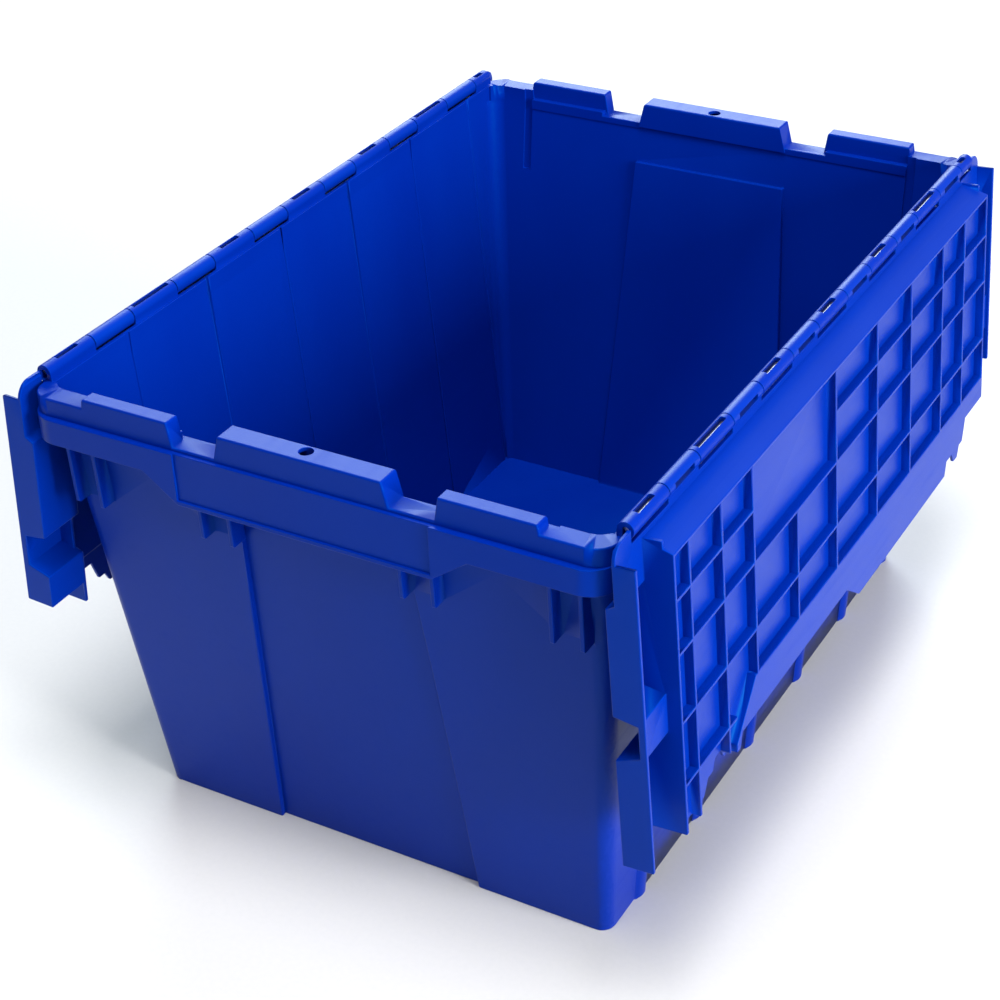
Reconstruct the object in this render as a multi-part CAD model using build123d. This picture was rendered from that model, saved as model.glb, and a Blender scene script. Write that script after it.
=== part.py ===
from build123d import *
import math
import os

os.makedirs("parts", exist_ok=True)

# Attached-lid container: a tapered plastic crate with two half lids that turn on
# steel rods along its long sides. X runs across the crate, Y along it, Z up.
# The origin is the middle of the underside. The lids are exported hanging open.
# "Share" values are positions as a share of the half length or half width of the rim.

# ---- overall sizes (mm) ----
rim_length = 546.0           # outside of the rim skirt, end to end
rim_width = 372.0            # outside of the rim skirt, side to side
ledge_z = 291.3              # top face of the rim ledge
base_end_inset = 49.0        # rim to the foot of the wall, at each end
base_side_inset = 26.0       # rim to the foot of the wall, at each side

# ---- crate shell ----
wall = 2.6
floor_thickness = 3.0
end_wall_inset = 14.4        # rim skirt to the end wall's outer face, at the ledge
side_wall_inset = 4.2        # rim skirt to the side wall's outer face, at the ledge
base_corner_radius = 9.0
mouth_corner_radius = 13.0
side_wall_top_gap = 4.4      # hinge axis down to the side wall's top edge

# ---- rim, skirt and end collar ----
skirt_thickness = 2.4
skirt_depth = 16.3
skirt_corner_radius = 18.0
ledge_width = 3.7            # ledge left outside the collar's end face
collar_thickness = 2.4
collar_side_inset = 0.6      # rim skirt to the collar's side face at the corners
corner_strip_height = 11.4   # heights above the ledge
block_height = 17.0
notch_height = 2.0
tail_height = 5.0
centre_block_share = 0.3065  # feet of the three raised blocks across each end
centre_block_slope = 4.5     # how far a block's end leans over its height
side_block_share = 0.448
side_block_inset = 37.6      # rim skirt to the side block's outer foot
side_block_slope = 3.0
side_block_depth = 10.5      # collar's end face to the block's inner face
centre_block_depth = 15.5
seal_hole_radius = 4.2
seal_hole_inset = 13.0       # rim skirt to the seal hole's centre
corner_groove_width = 6.0    # upright groove inside the wall, at the side block's foot
corner_groove_depth = 1.4
corner_groove_length = 60.0

# ---- grip in each end ----
grip_half_width = 82.0
grip_slope_width = 23.0
grip_depth = 33.0            # ledge down to the grip's lower edge
grip_recess = 1.4            # how far its face sits back from the skirt
grip_lip = 3.0               # height of the lip that stays level with the skirt
gusset_thickness = 3.0
grip_gusset_x = (56.0, 76.0)
corner_gusset_inset = (38.0, 20.0)
gusset_drop = 60.0           # ledge down to a gusset's foot
gusset_top_inset = 8.0       # rim skirt to a gusset's outer edge
gusset_foot_inset = 11.0

# ---- recessed panel in each end wall ----
panel_recess = 3.6
panel_half_top = 55.0
panel_half_base = 72.0
panel_top_share = 0.9        # of the ledge height

# ---- pilasters on the long walls, with a shallow groove inside each ----
pilaster_count = 6
pilaster_near_inset = 89.5   # rim end to the first pilaster
pilaster_far_inset = 54.0
pilaster_width = 16.0
pilaster_height = 3.0
groove_width = 3.0
groove_depth = 0.9

# ---- hinges ----
hinge_rise = 15.7            # ledge up to the hinge axis
knuckle_radius = 5.0
rod_radius = 2.0
rod_clearance = 0.08         # radial
knuckle_gap = 0.7            # between a lid knuckle and a crate knuckle
knuckle_shares = ((-0.923, -0.773), (-0.634, -0.480), (-0.333, -0.180), (-0.037, 0.121),
                  (0.264, 0.421), (0.560, 0.711), (0.864, 0.941))
open_slot_knuckles = (1, 5)  # these show the rod over nearly their whole length
window_share = 0.45          # of the length of the other crate knuckles
lid_window_share = 0.6
window_width = 3.6
slot_end_land = 4.0
end_slot_length = 6.0        # slot at the nose of the first knuckle
end_slot_drop = 4.0
rod_end_gap = 2.0            # rod ends inside the outer faces of the end knuckles

# ---- lids, sized in the closed position ----
lid_plate = 2.2
lid_end_inset = 1.0          # rim skirt to the lid's end
lid_hang_angle = 3.3         # degrees away from vertical when hanging open
flange_drop = 1.5            # hinge axis down to the flange's top face
flange_inset = 6.5           # hinge axis to the flange edge beside a crate knuckle
flange_overhang = 1.3        # flange past the hinge axis at the lid's corners
lid_corner_radius = 10.0
skirt_gap = 0.7              # ledge up to the end skirt's lower edge
lid_skirt_start = 9.0
tray_top_u = 9.5             # distances u run from the hinge axis to the seam
tray_foot_u = 15.5
end_channel = 30.0           # lid's end to the tray's end wall
panel_drop = 13.1            # hinge axis down to the panel's top face
rib_drop = 21.0              # hinge axis down to the rib tips
rib_thickness = 2.0
cross_rib_shares = (-0.819, -0.674, -0.527, -0.092, 0.150, 0.363, 0.573, 0.725)
short_cross_rib_share = -0.308
long_rib_shares = (0.239, 0.419, 0.653)
pad_ribs = (2, 3)            # cross ribs with no ribs between them in the first rows
strip_x = 33.0               # the strip beside the seam lies level with the rib tips
strip_near_share = -0.535
strip_diagonal = 27.0        # the strip's slanted near end, along Y and along X
strip_diagonal_x = 30.0
tab_rib_x = 23.0
block_clearance = 0.5        # lid over the blocks of the end collar
valley_clearance = 0.8       # beside the blocks, in the valley between them
outer_clearance = 2.6        # beside the side block's outer foot, to swing past it

# ---- seam between the two lids, closed ----
seam_gap = 3.0               # measured along X
seam_shares = ((0.037, -7.5), (0.612, -7.5), (0.626, 2.0), (0.663, 2.0), (0.678, -5.5),
               (0.703, -5.5), (0.718, 2.0), (0.740, 2.0))   # (share of the half length, x)
near_tab_x = -9.6            # the right lid's edge towards its -Y end
near_end_x = -16.0
far_tab_x = 18.5             # and towards its +Y end
far_end_x = 33.0
tab_share = 0.762            # where the tabs begin

rim_half = rim_length / 2
hinge_x = rim_width / 2
hinge_z = ledge_z + hinge_rise
base_half_y = rim_half - base_end_inset
base_half_x = hinge_x - base_side_inset
mouth_half_x = hinge_x - side_wall_inset
mouth_half_y = rim_half - end_wall_inset
side_wall_top = hinge_z - side_wall_top_gap
collar_face = rim_half - ledge_width
block_top = ledge_z + block_height
centre_block_half = centre_block_share * hinge_x
side_block_start = side_block_share * hinge_x
side_block_end = hinge_x - side_block_inset
crate_knuckles = [(low * rim_half, high * rim_half) for low, high in knuckle_shares]
bore_radius = rod_radius + rod_clearance
lid_half = rim_half - lid_end_inset
tray_half_length = lid_half - end_channel
cross_ribs = [share * rim_half for share in cross_rib_shares]
long_ribs = [share * hinge_x for share in long_rib_shares]


def prism_y(points, y_low, y_high):
    """A polygon of (x, z) points carried along Y from y_low to y_high."""
    face = make_face(Polyline(*[(x, 0, z) for x, z in points], close=True))
    solid = extrude(face, amount=y_high - y_low, dir=(0, 1, 0))
    return Pos(0, y_low, 0) * solid


def prism_z(points, z_low, z_high):
    """A polygon of (x, y) points carried up from z_low to z_high."""
    face = make_face(Polyline(*[(x, y, 0) for x, y in points], close=True))
    return Pos(0, 0, z_low) * extrude(face, amount=z_high - z_low)


def block(x_low, x_high, y_low, y_high, z_low, z_high):
    """A plain box given by its limits."""
    size = (x_high - x_low, y_high - y_low, z_high - z_low)
    centre = ((x_low + x_high) / 2, (y_low + y_high) / 2, (z_low + z_high) / 2)
    return Pos(*centre) * Box(*size)


def rounded_slab(half_x, half_y, radius, z_low, z_high):
    """A rounded rectangle with vertical sides."""
    return Pos(0, 0, z_low) * extrude(RectangleRounded(2 * half_x, 2 * half_y, radius), z_high - z_low)


def tapered_body(z_low, inset):
    """The crate's tapered form, from z_low to the ledge, moved in by inset."""
    faces = []
    for z in (z_low, ledge_z):
        share = z / ledge_z
        half_x = base_half_x + share * (mouth_half_x - base_half_x) - inset
        half_y = base_half_y + share * (mouth_half_y - base_half_y) - inset
        radius = base_corner_radius + share * (mouth_corner_radius - base_corner_radius) - inset
        faces.append(Pos(0, 0, z) * RectangleRounded(2 * half_x, 2 * half_y, radius))
    return loft(faces)


def both_ends(solid):
    """A solid and its copy at the other end of the crate."""
    return solid + mirror(solid, Plane.XZ)


def both_sides(solid):
    """A solid and its copy on the other side of the crate."""
    return solid + mirror(solid, Plane.YZ)


def end_panel(offset, depth, margin):
    """The trapezium pressed into the +Y end wall, offset outwards from its outer face, wider by margin."""
    lean = (mouth_half_y - base_half_y) / ledge_z
    foot = base_half_y + offset
    wall_plane = Plane(origin=(0, foot, 0), x_dir=(1, 0, 0), z_dir=(0, 1, -lean))
    top = -panel_top_share * ledge_z * math.hypot(1, lean) - margin
    half_base = panel_half_base + margin
    half_top = panel_half_top + margin
    face = make_face(Polyline((-half_base, 5), (half_base, 5), (half_top, top), (-half_top, top),
                              close=True))
    return extrude(wall_plane * face, amount=-depth)


def pilaster_y(index):
    """Where a pilaster stands along the crate."""
    pitch = (rim_length - pilaster_near_inset - pilaster_far_inset) / (pilaster_count - 1)
    return pilaster_near_inset - rim_half + index * pitch


def side_wall_plane(y, offset):
    """A plane square to the leaning +X side wall, with its origin on the wall's foot."""
    lean = (mouth_half_x - base_half_x) / ledge_z
    return Plane(origin=(base_half_x + offset, y, 0), x_dir=(1, 0, -lean), z_dir=(lean, 0, 1))


def pilaster(y):
    """A rounded rib that runs up the +X long wall."""
    half = pilaster_width / 2
    outline = ThreePointArc((-1, -half), (pilaster_height, 0), (-1, half)) + Line((-1, half), (-1, -half))
    rib = extrude(side_wall_plane(y, 0) * make_face(outline), amount=ledge_z * 1.05)
    return rib & block(0, rim_width, y - half, y + half, 0, ledge_z)


def inner_groove(y):
    """The shallow groove inside the +X long wall, behind a pilaster."""
    face = side_wall_plane(y, -wall) * Rectangle(2 * groove_depth, groove_width)
    groove = extrude(face, amount=side_wall_top * 1.05)
    return groove & block(0, rim_width, y - groove_width, y + groove_width,
                          floor_thickness, side_wall_top + 1)


def collar_bar(x_low, x_high, top, depth, slope):
    """One raised length of the +Y end collar, hollow from below."""
    low = ledge_z - 1
    outer = prism_y(((x_low, low), (x_low + slope, top), (x_high - slope, top), (x_high, low)),
                    collar_face - depth, collar_face)
    wall_top = top - collar_thickness
    inner = prism_y(((x_low + collar_thickness, low - 1), (x_low + slope + collar_thickness, wall_top),
                     (x_high - slope - collar_thickness, wall_top), (x_high - collar_thickness, low - 1)),
                    collar_face - depth + collar_thickness, collar_face - collar_thickness)
    return outer - inner


def crate_knuckle(index, y_low, y_high):
    """One crate knuckle on the +X side, with the web that carries it."""
    barrel = prism_cylinder(knuckle_radius, y_low, y_high)
    inside = mouth_half_x - wall
    web = prism_y(((inside, ledge_z - 2), (inside, side_wall_top), (hinge_x - knuckle_radius, side_wall_top),
                   (hinge_x - knuckle_radius, hinge_z), (hinge_x, hinge_z), (hinge_x + 3, hinge_z - 4),
                   (hinge_x, hinge_z - 8), (hinge_x, ledge_z - 2)), y_low, y_high)
    length = y_high - y_low
    slot = length - 2 * slot_end_land if index in open_slot_knuckles else window_share * length
    middle = (y_low + y_high) / 2
    window = block(hinge_x - window_width / 2, hinge_x + window_width / 2,
                   middle - slot / 2, middle + slot / 2, hinge_z, hinge_z + 2 * knuckle_radius)
    if index == 0:
        window += block(hinge_x - bore_radius, hinge_x + bore_radius, y_low - 1, y_low + end_slot_length,
                        hinge_z - end_slot_drop, hinge_z)
    return barrel + web - window


def prism_cylinder(radius, y_low, y_high):
    """A cylinder on the +X hinge axis."""
    middle = (y_low + y_high) / 2
    return Pos(hinge_x, middle, hinge_z) * Rot(90, 0, 0) * Cylinder(radius, y_high - y_low)


def make_crate():
    """The crate body: shell, rim, end collars with grips, pilasters and knuckles."""
    shell = tapered_body(0, 0)
    for index in range(pilaster_count):
        shell += both_sides(pilaster(pilaster_y(index)))
    shell -= both_ends(end_panel(0.2, panel_recess + 0.2, 0))
    cavity = tapered_body(floor_thickness, wall)
    cavity -= both_ends(end_panel(-wall + 0.2, panel_recess + 0.2, wall))
    body = shell - cavity

    # rim ledge and skirt all round, with the deeper grip across each end
    outer = rounded_slab(hinge_x, rim_half, skirt_corner_radius, ledge_z - skirt_depth, ledge_z)
    under = rounded_slab(hinge_x - skirt_thickness, rim_half - skirt_thickness,
                         skirt_corner_radius - skirt_thickness, ledge_z - skirt_depth - 1,
                         ledge_z - collar_thickness)
    opening = rounded_slab(mouth_half_x - wall, mouth_half_y - wall, mouth_corner_radius - wall,
                           ledge_z - skirt_depth - 1, ledge_z + 1)
    body += outer - under - opening
    grip_low = ledge_z - grip_depth
    grip_points = ((-grip_half_width - grip_slope_width, ledge_z - skirt_depth), (-grip_half_width, grip_low),
                   (grip_half_width, grip_low), (grip_half_width + grip_slope_width, ledge_z - skirt_depth),
                   (grip_half_width + grip_slope_width, ledge_z - 1),
                   (-grip_half_width - grip_slope_width, ledge_z - 1))
    grip = prism_y(grip_points, rim_half - grip_recess - skirt_thickness, rim_half)
    body += both_ends(grip)
    recess = block(-grip_half_width, grip_half_width, rim_half - grip_recess, rim_half + 1,
                   grip_low + grip_lip, ledge_z + 1)
    body -= both_ends(recess)

    # end collars: centre block, two side blocks, low notches between them and corner strips
    collar_inner = mouth_half_y - wall
    ring_half_x = hinge_x - collar_side_inset
    ring_radius = skirt_corner_radius - ledge_width
    ring = rounded_slab(ring_half_x, collar_face, ring_radius, ledge_z - 1, ledge_z + corner_strip_height)
    hollow = rounded_slab(ring_half_x - collar_thickness, collar_face - collar_thickness,
                          ring_radius - collar_thickness, ledge_z - 2,
                          ledge_z + corner_strip_height - collar_thickness)
    mouth = rounded_slab(mouth_half_x - wall, mouth_half_y - wall, mouth_corner_radius - wall,
                         ledge_z - 2, ledge_z + corner_strip_height + 1)
    inner_skin = rounded_slab(mouth_half_x, mouth_half_y, mouth_corner_radius, ledge_z - 1,
                              ledge_z + corner_strip_height - 1) - mouth
    corner = ring - hollow - mouth + (inner_skin & ring)
    end_start = -crate_knuckles[0][0] - 1
    corner_zone = block(side_block_end - side_block_slope, rim_width, end_start, rim_length, 0, 2 * ledge_z)
    collar = both_sides(corner & corner_zone)
    collar += collar_bar(-centre_block_half, centre_block_half, block_top, centre_block_depth,
                         centre_block_slope)
    collar += both_sides(collar_bar(side_block_start, side_block_end, block_top, side_block_depth,
                                    side_block_slope))
    notch_low = ledge_z - collar_thickness
    notch = block(centre_block_half - centre_block_slope, side_block_start + side_block_slope,
                  collar_inner - 1, collar_face, notch_low, ledge_z + notch_height)
    tail = block(side_block_start + side_block_slope, side_block_end + 1, collar_inner - 1,
                 collar_face - side_block_depth + collar_thickness, notch_low, ledge_z + tail_height)
    collar += both_sides(notch + tail)
    body += both_ends(collar)
    seal_hole = Cylinder(seal_hole_radius, 4 * collar_thickness)
    body -= both_ends(Pos(0, rim_half - seal_hole_inset, block_top) * seal_hole)

    # gussets that tie the skirt to the end walls
    gusset_foot = ledge_z - gusset_drop
    foot_wall = base_half_y + (mouth_half_y - base_half_y) * gusset_foot / ledge_z
    gusset_top = ledge_z - collar_thickness
    profile = ((foot_wall - 1, gusset_foot), (rim_half - gusset_foot_inset, gusset_foot),
               (rim_half - gusset_top_inset, gusset_top), (mouth_half_y - 1, gusset_top))
    face = make_face(Polyline(*[(0, y, z) for y, z in profile], close=True))
    plate = extrude(face, amount=gusset_thickness / 2, dir=(1, 0, 0), both=True)
    for x in grip_gusset_x + tuple(hinge_x - inset for inset in corner_gusset_inset):
        body += both_ends(both_sides(Pos(x, 0, 0) * plate))

    # upright grooves inside the end walls, at the outer feet of the side blocks
    groove_inset = wall - corner_groove_depth
    groove_x = side_block_end - side_block_slope
    groove_top = ledge_z + corner_strip_height
    upright = rounded_slab(mouth_half_x - groove_inset, mouth_half_y - groove_inset,
                           mouth_corner_radius - groove_inset, ledge_z, groove_top + 1)
    groove = block(groove_x, groove_x + corner_groove_width, 0, rim_half,
                   groove_top - corner_groove_length, groove_top + 1)
    groove &= tapered_body(floor_thickness, groove_inset) + upright
    body -= both_ends(both_sides(groove))

    # side wall tops and hinge knuckles
    body += both_sides(block(mouth_half_x - wall, mouth_half_x, -end_start - 2, end_start + 2,
                             ledge_z - 2, side_wall_top))
    for index in range(pilaster_count):
        body -= both_sides(inner_groove(pilaster_y(index)))
    for index, (y_low, y_high) in enumerate(crate_knuckles):
        body += both_sides(crate_knuckle(index, y_low, y_high))
    rod_space = prism_cylinder(bore_radius, crate_knuckles[0][0] - 1, crate_knuckles[-1][1] - rod_end_gap)
    body -= both_sides(rod_space)
    return body


def lid_point(u, h):
    """A closed lid's (x, z) point from its distance to the hinge axis and its height over it."""
    return (hinge_x - u, hinge_z + h)


def lid_outline():
    """The closed right lid seen from above: rounded at the hinge corners, fingered at the seam."""
    half = [(x, share * rim_half) for share, x in seam_shares]
    shift = seam_gap / 2
    tab_y = tab_share * rim_half
    seam = [(near_end_x, -lid_half), (near_end_x, -tray_half_length), (near_tab_x, -tray_half_length),
            (near_tab_x, -tab_y)]
    seam += [(shift - x, -y) for x, y in reversed(half)]
    seam += [(shift + x, y) for x, y in half]
    seam += [(far_tab_x, tab_y), (far_tab_x, tray_half_length), (far_end_x, tray_half_length),
             (far_end_x, lid_half)]
    edge = hinge_x + flange_overhang
    face = make_face(Polyline(*seam, (edge, lid_half), (edge, -lid_half), close=True))
    corners = face.vertices().group_by(Axis.X)[-1]
    return extrude(fillet(corners, lid_corner_radius), amount=4 * hinge_z, both=True)


def lid_end(outline):
    """The +Y end of the lid: a strip that steps over the end collar, with the end skirt."""
    top = block_top + block_clearance
    notch = ledge_z + notch_height + 2 * block_clearance
    flange = hinge_z - flange_drop - lid_plate
    inner = ((rim_width, flange),
             (side_block_end + outer_clearance, flange),
             (side_block_end - side_block_slope + outer_clearance, top),
             (side_block_start + side_block_slope - valley_clearance, top),
             (side_block_start - valley_clearance, notch),
             (centre_block_half + valley_clearance, notch),
             (centre_block_half - centre_block_slope + valley_clearance, top),
             (-centre_block_half, top))
    sides = (0, 1, 1, -1, -1, 1, 1, 0)
    outer = [(x + side * lid_plate, z + lid_plate) for (x, z), side in zip(inner, sides)]
    low = ledge_z + skirt_gap
    strip = prism_y(outer + [(-centre_block_half, low), (rim_width, low)],
                    tray_half_length - lid_plate, lid_half)
    strip -= prism_y(inner + ((-centre_block_half, low - 1), (rim_width, low - 1)),
                     tray_half_length, lid_half - lid_plate)
    strip -= block(hinge_x - lid_skirt_start, rim_width, 0, rim_length, 0, flange)
    return strip & outline


def make_panel(outline):
    """The lid without its hinge: flange, tray, ribs, seam strip and both ends."""
    flange_top = hinge_z - flange_drop
    panel_top = hinge_z - panel_drop
    panel_low = panel_top - lid_plate
    tips = hinge_z - rib_drop
    tray_y = tray_half_length - lid_plate

    # the flange along the hinge and the sloping tray wall below it
    body = block(hinge_x - tray_top_u - lid_plate, rim_width, -tray_half_length, tray_half_length,
                 flange_top - lid_plate, flange_top)
    wall_points = [lid_point(tray_top_u, -flange_drop), lid_point(tray_top_u + 1.2 * lid_plate, -flange_drop),
                   lid_point(tray_foot_u + lid_plate, -rib_drop), lid_point(tray_foot_u, -rib_drop),
                   lid_point(tray_top_u, -flange_drop - lid_plate)]
    body += prism_y(wall_points, -tray_half_length, tray_half_length)

    # the panel, and the strip beside the seam that lies level with the rib tips
    far_x = 2 * near_end_x
    panel = block(far_x, hinge_x - tray_foot_u, -tray_y, tray_y, panel_low, panel_top)
    strip_near_y = strip_near_share * rim_half
    far_y = strip_near_y - strip_diagonal
    strip_zone = ((strip_x, tray_half_length), (strip_x, strip_near_y), (strip_x - strip_diagonal_x, far_y),
                  (far_x, far_y), (far_x, tray_half_length))
    step_x = strip_x + lid_plate
    step_zone = ((step_x, tray_half_length), (step_x, strip_near_y - lid_plate / 2),
                 (step_x - strip_diagonal_x, far_y - lid_plate), (far_x, far_y - lid_plate),
                 (far_x, tray_half_length))
    panel += prism_z(step_zone, tips, panel_top)
    panel -= prism_z(strip_zone, tips + lid_plate, panel_top + 1)
    body += panel & block(far_x, rim_width, -tray_y, tray_y, 0, 2 * hinge_z)

    # ribs under the panel
    half_rib = rib_thickness / 2
    rib_top = panel_low + 0.2
    tray_start = hinge_x - tray_foot_u - 1
    short_y = short_cross_rib_share * rim_half
    ribs = block(strip_x, tray_start, short_y - half_rib, short_y + half_rib, tips, rib_top)
    ribs &= block(far_x, hinge_x - long_ribs[1], -tray_y, tray_y, 0, hinge_z)
    for y in cross_ribs:
        end_x = far_x if y < far_y else strip_x
        ribs += block(end_x, tray_start, y - half_rib, y + half_rib, tips, rib_top)
    for u in long_ribs:
        x = hinge_x - u
        ribs += block(x - half_rib, x + half_rib, -tray_y, tray_y, tips, rib_top)
    ribs -= block(hinge_x - long_ribs[1] + half_rib, tray_start - 3 * lid_plate,
                  cross_ribs[pad_ribs[0]] + half_rib, cross_ribs[pad_ribs[1]] - half_rib, tips - 1, rib_top)
    ribs += block(tab_rib_x - half_rib, tab_rib_x + half_rib, -tray_y, far_y, tips, rib_top)
    body += ribs

    # both ends, and the tray's end walls carried down to the rib tips
    body = body & outline
    end_wall = block(far_x, hinge_x - tray_foot_u, tray_y, tray_half_length, tips, flange_top)
    end = lid_end(outline) + (end_wall & outline)
    far_end_wall = mirror(end_wall, Plane.XZ) & outline
    far_strip = mirror(lid_end(mirror(outline, Plane.XZ)), Plane.XZ)
    seal_hole = Pos(0, seal_hole_inset - rim_half, block_top) * Cylinder(seal_hole_radius, 6 * lid_plate)
    return body + end + far_end_wall + far_strip - seal_hole


def make_lid(flipped):
    """One half lid on the +X side, closed, with its knuckles; flipped swaps its ends."""
    body = make_panel(lid_outline())
    if flipped:
        body = mirror(body, Plane.XZ)
    for y_low, y_high in crate_knuckles:
        body -= block(hinge_x - flange_inset, rim_width, y_low - knuckle_gap, y_high + knuckle_gap,
                      0, 2 * hinge_z)
    for before, after in zip(crate_knuckles[:-1], crate_knuckles[1:]):
        y_low = before[1] + knuckle_gap
        y_high = after[0] - knuckle_gap
        body += prism_cylinder(knuckle_radius, y_low, y_high)
    for before, after in zip(crate_knuckles[:-1], crate_knuckles[1:]):
        middle = (before[1] + after[0]) / 2
        half_window = lid_window_share * (after[0] - before[1]) / 2
        body -= block(hinge_x - window_width / 2, hinge_x + window_width / 2, middle - half_window,
                      middle + half_window, hinge_z - 2 * knuckle_radius, hinge_z)
    return body - prism_cylinder(bore_radius, -rim_half, rim_half)


def hang(lid):
    """Turn a closed right lid about its hinge axis until it hangs open."""
    return Pos(hinge_x, 0, hinge_z) * Rot(0, -90 - lid_hang_angle, 0) * Pos(-hinge_x, 0, -hinge_z) * lid


crate = make_crate()
right_lid = hang(make_lid(False))
left_lid = mirror(hang(make_lid(True)), Plane.YZ)
right_rod = prism_cylinder(rod_radius, crate_knuckles[0][0] + rod_end_gap,
                           crate_knuckles[-1][1] - rod_end_gap)
left_rod = mirror(right_rod, Plane.YZ)
pieces = {"crate_body": crate, "right_lid": right_lid, "left_lid": left_lid,
          "right_hinge_rod": right_rod, "left_hinge_rod": left_rod}
for name, piece in pieces.items():
    export_step(piece, f"parts/{name}.step")
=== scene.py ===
import math

import bmesh
import bpy
from mathutils import Matrix, Vector
from mathutils.bvhtree import BVHTree
from mathutils.kdtree import KDTree


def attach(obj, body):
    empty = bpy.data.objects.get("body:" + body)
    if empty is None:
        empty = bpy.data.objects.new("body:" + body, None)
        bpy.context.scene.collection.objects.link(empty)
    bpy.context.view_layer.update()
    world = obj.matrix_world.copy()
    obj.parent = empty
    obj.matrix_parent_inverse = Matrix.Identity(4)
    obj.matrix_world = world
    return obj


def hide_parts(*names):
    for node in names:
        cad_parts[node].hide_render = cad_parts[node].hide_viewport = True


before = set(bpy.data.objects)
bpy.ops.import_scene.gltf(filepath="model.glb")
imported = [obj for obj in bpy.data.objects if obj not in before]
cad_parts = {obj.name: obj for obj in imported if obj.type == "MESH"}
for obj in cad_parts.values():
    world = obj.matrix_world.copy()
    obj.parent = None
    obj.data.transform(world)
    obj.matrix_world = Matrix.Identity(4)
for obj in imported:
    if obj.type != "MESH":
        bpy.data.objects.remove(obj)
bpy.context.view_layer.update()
scene = bpy.context.scene

# ---- Studio -----------------------------------------------------------------
# A pale floor in a white room. A soft light stands low on the crate's right and
# one hangs overhead. A cool one behind it puts a sheen on the rims and tops.
middle = Vector((0.0, 0.0, 0.17))
camera_data = bpy.data.cameras.new("camera")
camera_data.lens = 77.86
camera_data.shift_x = -0.0052
camera_data.shift_y = -0.0059
camera = bpy.data.objects.new("camera", camera_data)
camera.matrix_world = (Matrix.Translation((0.5936, -1.0615, 0.8955))
                       @ Matrix.Rotation(math.radians(30.47), 4, "Z")
                       @ Matrix.Rotation(math.radians(58.04), 4, "X")
                       @ Matrix.Rotation(math.radians(-2.19), 4, "Z"))
scene.collection.objects.link(camera)
scene.camera = camera
scene.view_settings.view_transform = "Standard"


def panel_light(name, place, size, power, colour):
    """A square soft light at place, facing the middle of the crate."""
    data = bpy.data.lights.new(name, "AREA")
    data.color = colour
    data.size = size
    data.energy = power
    lamp = bpy.data.objects.new(name, data)
    facing = (middle - Vector(place)).to_track_quat("-Z", "Y").to_matrix().to_4x4()
    lamp.matrix_world = Matrix.Translation(place) @ facing
    scene.collection.objects.link(lamp)


panel_light("key", (2.7, -0.5, 1.0), 1.2, 120, (1.0, 1.0, 1.0))
panel_light("overhead", (0.3, -0.5, 2.8), 1.2, 75, (1.0, 1.0, 1.0))
panel_light("rear", (-1.7, 2.9, 1.9), 2.4, 150, (0.82, 0.94, 1.0))

world = bpy.data.worlds.new("world")
world.use_nodes = True
world.node_tree.nodes["Background"].inputs["Color"].default_value = (0.93, 0.96, 1.0, 1)
world.node_tree.nodes["Background"].inputs["Strength"].default_value = 0.3
scene.world = world


class Wire:
    """One shader value. Arithmetic on wires adds Math nodes to the same node tree."""

    def __init__(self, tree, socket):
        self.tree = tree
        self.socket = socket

    def math(self, operation, first, second=0.0):
        return wire(self.tree, "ShaderNodeMath", "Value", {"operation": operation}, {0: first, 1: second})

    def __add__(self, other):
        return self.math("ADD", self, other)

    def __sub__(self, other):
        return self.math("SUBTRACT", self, other)

    def __rsub__(self, other):
        return self.math("SUBTRACT", other, self)

    def __mul__(self, other):
        return self.math("MULTIPLY", self, other)

    def __pow__(self, other):
        return self.math("POWER", self, other)

    __radd__ = __add__
    __rmul__ = __mul__


def wire(tree, kind, output, settings, inputs):
    """Add one node, set its options and inputs, and return one of its outputs as a wire."""
    node = tree.nodes.new(kind)
    for key, value in settings.items():
        setattr(node, key, value)
    for key, value in inputs.items():
        if isinstance(value, Wire):
            tree.links.new(value.socket, node.inputs[key])
        else:
            node.inputs[key].default_value = value
    return Wire(tree, node.outputs[output])


def new_material(name):
    """A node material; returns it with its tree, its main shader and its object coordinates."""
    material = bpy.data.materials.new(name)
    material.use_nodes = True
    tree = material.node_tree
    place = wire(tree, "ShaderNodeTexCoord", "Object", {}, {})
    return material, tree, tree.nodes["Principled BSDF"], place


def noise(place, scale, detail=2.0, stretch=(1, 1, 1)):
    """Noise of a given number of cells per metre, 0 to 1, drawn out along the axes by stretch."""
    moved = wire(place.tree, "ShaderNodeMapping", "Vector", {}, {"Vector": place, "Scale": stretch})
    return wire(place.tree, "ShaderNodeTexNoise", "Fac", {},
                {"Vector": moved, "Scale": scale, "Detail": detail})


def blend(factor, first, second):
    """A colour between first and second."""
    return wire(factor.tree, "ShaderNodeMix", 2, {"data_type": "RGBA"},
                {0: factor, 6: (*first, 1), 7: (*second, 1)})


floor_mesh = bpy.data.meshes.new("floor")
reach = 30.0
floor_corners = [(-reach, -reach, 0), (reach, -reach, 0), (reach, reach, 0), (-reach, reach, 0)]
floor_mesh.from_pydata(floor_corners, [], [(0, 1, 2, 3)])
floor = bpy.data.objects.new("floor", floor_mesh)
scene.collection.objects.link(floor)
pale, tree, shader, place = new_material("pale_floor")
paper = noise(place, 260, 3)
tree.links.new(blend(paper, (0.62, 0.62, 0.62), (0.66, 0.655, 0.65)).socket, shader.inputs["Base Color"])
shader.inputs["Roughness"].default_value = 0.8
shader.inputs["Specular IOR Level"].default_value = 0.1
floor_mesh.materials.append(pale)

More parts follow.
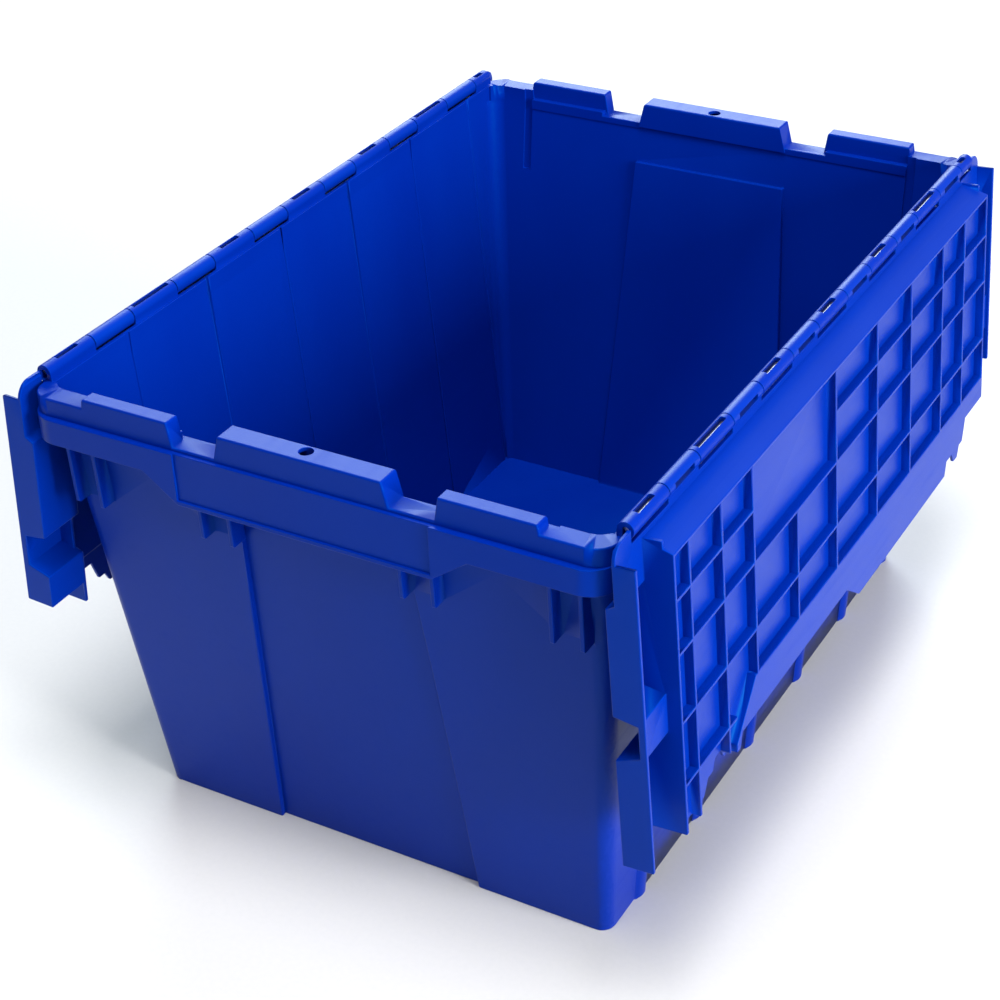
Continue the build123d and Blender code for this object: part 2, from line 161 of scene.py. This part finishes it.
# ---- Crate body -------------------------------------------------------------
# One injection moulding in blue polypropylene: tapered walls, rim and end
# collars, grips and hinge knuckles. Everything else hangs on it.
crate_round = 0.0018
sharp_angle = math.radians(28)    # edges that turn more than this are rounded
along = 0.9                       # edges whose directions agree this well run on
room_share = 0.35                 # of the shortest edge that meets a rounded one
fold_distance = 0.6               # of the width: farther off the CAD surface is a fold
fold_area = 1e-6                  # smaller folds are left


def softened(node, name, width):
    """A copy of a CAD node with its outer edges rounded, and less where there is little room.

    An edge is rounded by width, or by a share of the shortest edge that meets it if that is
    less. Where that folds a face over, the edges at its corners stay sharp, in three rounds."""
    work = bmesh.new()
    work.from_mesh(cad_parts[node].data)
    bmesh.ops.remove_doubles(work, verts=work.verts, dist=1e-6)
    weights = work.edges.layers.float.new("bevel_weight_edge")
    work.verts.ensure_lookup_table()
    surface = BVHTree.FromBMesh(work)
    corners = KDTree(len(work.verts))
    for index, vertex in enumerate(work.verts):
        corners.insert(vertex.co, index)
    corners.balance()
    sharp = {e for e in work.edges if len(e.link_faces) == 2 and e.calc_face_angle(0) > sharp_angle}
    for edge in sharp:
        run = (edge.verts[1].co - edge.verts[0].co).normalized()
        room = edge.calc_length() * 2
        for corner in edge.verts:
            for other in corner.link_edges:
                across = (other.verts[1].co - other.verts[0].co).normalized()
                if other is not edge and abs(run.dot(across)) < along:
                    room = min(room, other.calc_length())
        if edge.is_convex:
            edge[weights] = min(1.0, room_share * room / width)
        else:
            edge.smooth = False
    for face in work.faces:
        face.smooth = True
    mesh = bpy.data.meshes.new(name)
    work.to_mesh(mesh)
    piece = bpy.data.objects.new(name, mesh)
    scene.collection.objects.link(piece)
    rounding = piece.modifiers.new("rounding", "BEVEL")
    rounding.offset_type = "WIDTH"
    rounding.width = width
    rounding.segments = 2
    rounding.limit_method = "WEIGHT"
    rounding.use_clamp_overlap = False
    rounding.loop_slide = False
    rounding.face_strength_mode = "FSTR_AFFECTED"
    for _ in range(3):
        rounded = piece.evaluated_get(bpy.context.evaluated_depsgraph_get()).to_mesh()
        for face in rounded.polygons:
            _, normal, _, distance = surface.find_nearest(face.center)
            folded = normal.dot(face.normal) < -0.1 or distance > fold_distance * width
            if folded and face.area > fold_area:
                for index in face.vertices:
                    _, nearest, _ = corners.find(rounded.vertices[index].co)
                    for edge in work.verts[nearest].link_edges:
                        edge[weights] = 0
        work.to_mesh(mesh)
        mesh.update()
    work.free()
    normals = piece.modifiers.new("normals", "WEIGHTED_NORMAL")
    normals.keep_sharp = True
    normals.use_face_influence = True
    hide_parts(node)
    return piece


def polypropylene(name, deep, light, shine):
    """Satin moulded plastic: fine grain, faint flow marks and light scuffs."""
    material, tree, shader, place = new_material(name)
    grain = noise(place, 1500, 3)
    flow = noise(place, 11, 3, (1, 1, 0.4))
    scuffs = noise(place, 160, 4, (1, 0.12, 1)) ** 6
    tree.links.new(blend(flow, deep, light).socket, shader.inputs["Base Color"])
    rough = shine + flow * 0.08 + scuffs * 0.5
    tree.links.new(rough.socket, shader.inputs["Roughness"])
    height = grain + flow * 0.6
    bump = wire(tree, "ShaderNodeBump", "Normal", {},
                {"Strength": 0.35, "Distance": 0.00012, "Height": height})
    tree.links.new(bump.socket, shader.inputs["Normal"])
    shader.inputs["Specular IOR Level"].default_value = 0.2
    shader.inputs["Specular Tint"].default_value = (0.0, 0.55, 1.0, 1)
    return material


crate = softened("crate_body", "crate_moulding", crate_round)
crate.data.materials.append(polypropylene("crate_plastic", (0.0, 0.013, 0.25), (0.0, 0.022, 0.31), 0.36))
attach(crate, "crate")

# ---- Hinge rods -------------------------------------------------------------
# Two straight lengths of 4 mm drawn steel wire. Each is pushed in from the
# far end through the crate's and the lid's knuckles in turn.
steel, tree, shader, place = new_material("hinge_steel")
drawn = noise(place, 900, 3, (1, 0.02, 1))
stain = noise(place, 40, 4)
tree.links.new(blend(stain, (0.36, 0.36, 0.37), (0.62, 0.62, 0.61)).socket, shader.inputs["Base Color"])
tree.links.new((0.2 + drawn * 0.25 + stain * 0.1).socket, shader.inputs["Roughness"])
scores = wire(tree, "ShaderNodeBump", "Normal", {},
              {"Strength": 0.3, "Distance": 0.00005, "Height": drawn})
tree.links.new(scores.socket, shader.inputs["Normal"])
shader.inputs["Metallic"].default_value = 1.0
rod_round = 0.0005
for side in ("right", "left"):
    rod = softened(side + "_hinge_rod", side + "_wire", rod_round)
    rod.data.materials.append(steel)
    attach(rod, "crate")

# ---- Lids -------------------------------------------------------------------
# Two identical mouldings, one turned end for end, so that their fingers meet
# along the middle. Knuckles along the outer edge turn on the steel rods.
lid_round = 0.0014
lid_plastic = polypropylene("lid_plastic", (0.0, 0.017, 0.26), (0.0, 0.026, 0.33), 0.32)
for side in ("right", "left"):
    lid = softened(side + "_lid", side + "_lid_moulding", lid_round)
    lid.data.materials.append(lid_plastic)
    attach(lid, side + "_lid")
